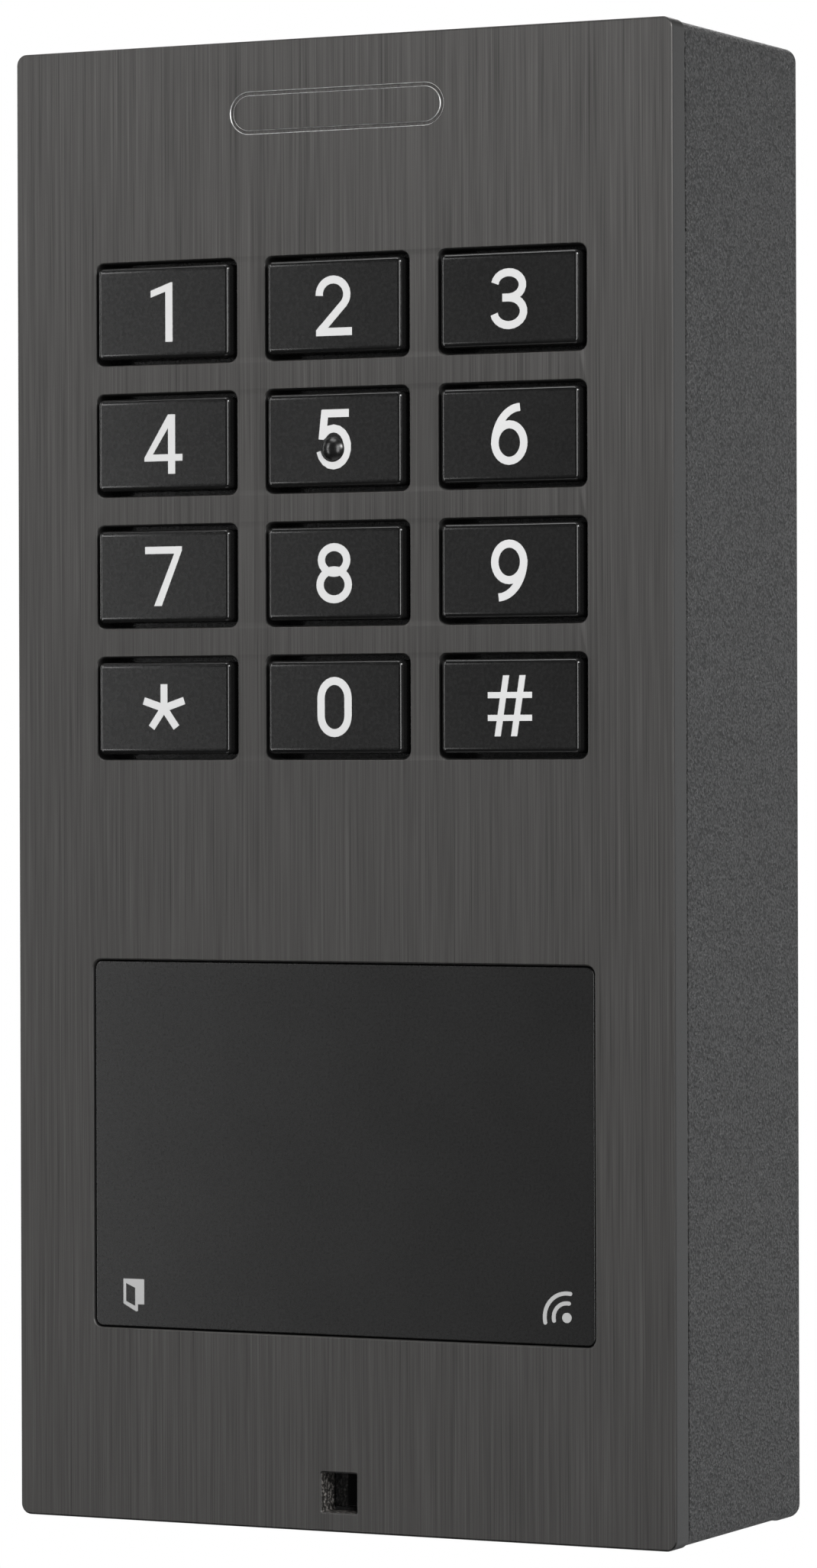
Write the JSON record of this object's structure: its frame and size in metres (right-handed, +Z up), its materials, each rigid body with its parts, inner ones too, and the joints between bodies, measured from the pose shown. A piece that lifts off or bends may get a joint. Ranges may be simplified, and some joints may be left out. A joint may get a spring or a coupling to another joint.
{
  "type": "rfid card reader",
  "caption": "Wall-mounted card reader with a keypad of square-edged keys above a recessed reading window, set in a thick metal plate on a deep grained housing.",
  "frame": {"origin": "centre of the housing's rear face, where it meets the wall", "axes": "+Y out of the rear face into the wall, so the front faces -Y; +Z up; +X right seen from the front"},
  "size_m": [0.08, 0.0357, 0.1631],
  "materials": {
    "plate_coating": "dark grey anodised aluminium, fine vertical brushing",
    "zinc_steel": "bright zinc plated",
    "brass_parts": "turned",
    "black_rubber": "matte",
    "window_plastic": "satin black, faint grain",
    "white_print": "light grey print",
    "light_body": "translucent white",
    "circuit_board": "solder mask",
    "copper_track": "bare copper",
    "ferrite": "sheet with film",
    "lens_acrylic": "dark clear",
    "key_plastic": "satin black",
    "silicone": "translucent grey",
    "frame_plastic": "moulded black",
    "capacitor_sleeve": "shrink sleeve",
    "relay_case": "moulded case",
    "terminal_plastic": "moulded green",
    "ivory_plastic": "moulded",
    "housing_plastic": "dark grey, leather grain",
    "security_steel": "stainless"
  },
  "bodies": {
    "reader": {"front_plate": "plate_coating", "plate_studs": "zinc_steel", "stud_nuts": "brass_parts", "plate_gasket": "black_rubber", "reader_window": "window_plastic", "window_seal": "black_rubber", "door_symbol": "white_print", "wave_symbol": "white_print", "icon_leds": "light_body", "antenna_board": "circuit_board", "antenna_coil": "copper_track", "ferrite_sheet": "ferrite", "sensor_lens": "lens_acrylic", "keypad_mat": "silicone", "dome_contacts": "zinc_steel", "keypad_board": "circuit_board", "key_leds": "light_body", "carrier_frame": "frame_plastic", "main_board": "circuit_board", "board_screws": "zinc_steel", "board_link": "frame_plastic", "processor_shield": "zinc_steel", "capacitors": "capacitor_sleeve", "relay": "relay_case", "terminal_block": "terminal_plastic", "terminal_screws": "zinc_steel", "buzzer": "frame_plastic", "tamper_switch": "frame_plastic", "rear_cover": "frame_plastic", "cover_screws": "zinc_steel", "housing": "housing_plastic", "cable_grommet": "black_rubber", "security_insert": "brass_parts", "security_screw": "security_steel"},
    "key_1_unit": {"key_1": "key_plastic", "legend_1": "white_print"},
    "key_2_unit": {"key_2": "key_plastic", "legend_2": "white_print"},
    "key_3_unit": {"key_3": "key_plastic", "legend_3": "white_print"},
    "key_4_unit": {"key_4": "key_plastic", "legend_4": "white_print"},
    "key_5_unit": {"key_5": "key_plastic", "legend_5": "white_print"},
    "key_6_unit": {"key_6": "key_plastic", "legend_6": "white_print"},
    "key_7_unit": {"key_7": "key_plastic", "legend_7": "white_print"},
    "key_8_unit": {"key_8": "key_plastic", "legend_8": "white_print"},
    "key_9_unit": {"key_9": "key_plastic", "legend_9": "white_print"},
    "key_star_unit": {"key_star": "key_plastic", "legend_star": "white_print"},
    "key_0_unit": {"key_0": "key_plastic", "legend_0": "white_print"},
    "key_hash_unit": {"key_hash": "key_plastic", "legend_hash": "white_print"},
    "plunger": {"tamper_plunger": "ivory_plastic"}
  },
  "joints": [
    {"name": "key_1_press", "type": "slide", "parent": "reader", "child": "key_1_unit", "axis": [0, 1, 0], "range_m": [0, 0.0007], "stiffness_N_per_m": 1500},
    {"name": "key_2_press", "type": "slide", "parent": "reader", "child": "key_2_unit", "axis": [0, 1, 0], "range_m": [0, 0.0007], "stiffness_N_per_m": 1500},
    {"name": "key_3_press", "type": "slide", "parent": "reader", "child": "key_3_unit", "axis": [0, 1, 0], "range_m": [0, 0.0007], "stiffness_N_per_m": 1500},
    {"name": "key_4_press", "type": "slide", "parent": "reader", "child": "key_4_unit", "axis": [0, 1, 0], "range_m": [0, 0.0007], "stiffness_N_per_m": 1500},
    {"name": "key_5_press", "type": "slide", "parent": "reader", "child": "key_5_unit", "axis": [0, 1, 0], "range_m": [0, 0.0007], "stiffness_N_per_m": 1500},
    {"name": "key_6_press", "type": "slide", "parent": "reader", "child": "key_6_unit", "axis": [0, 1, 0], "range_m": [0, 0.0007], "stiffness_N_per_m": 1500},
    {"name": "key_7_press", "type": "slide", "parent": "reader", "child": "key_7_unit", "axis": [0, 1, 0], "range_m": [0, 0.0007], "stiffness_N_per_m": 1500},
    {"name": "key_8_press", "type": "slide", "parent": "reader", "child": "key_8_unit", "axis": [0, 1, 0], "range_m": [0, 0.0007], "stiffness_N_per_m": 1500},
    {"name": "key_9_press", "type": "slide", "parent": "reader", "child": "key_9_unit", "axis": [0, 1, 0], "range_m": [0, 0.0007], "stiffness_N_per_m": 1500},
    {"name": "key_star_press", "type": "slide", "parent": "reader", "child": "key_star_unit", "axis": [0, 1, 0], "range_m": [0, 0.0007], "stiffness_N_per_m": 1500},
    {"name": "key_0_press", "type": "slide", "parent": "reader", "child": "key_0_unit", "axis": [0, 1, 0], "range_m": [0, 0.0007], "stiffness_N_per_m": 1500},
    {"name": "key_hash_press", "type": "slide", "parent": "reader", "child": "key_hash_unit", "axis": [0, 1, 0], "range_m": [0, 0.0007], "stiffness_N_per_m": 1500},
    {"name": "plunger_slide", "type": "slide", "parent": "reader", "child": "plunger", "axis": [0, -1, 0], "range_m": [-0.001, 0.0005], "stiffness_N_per_m": 400}
  ]
}
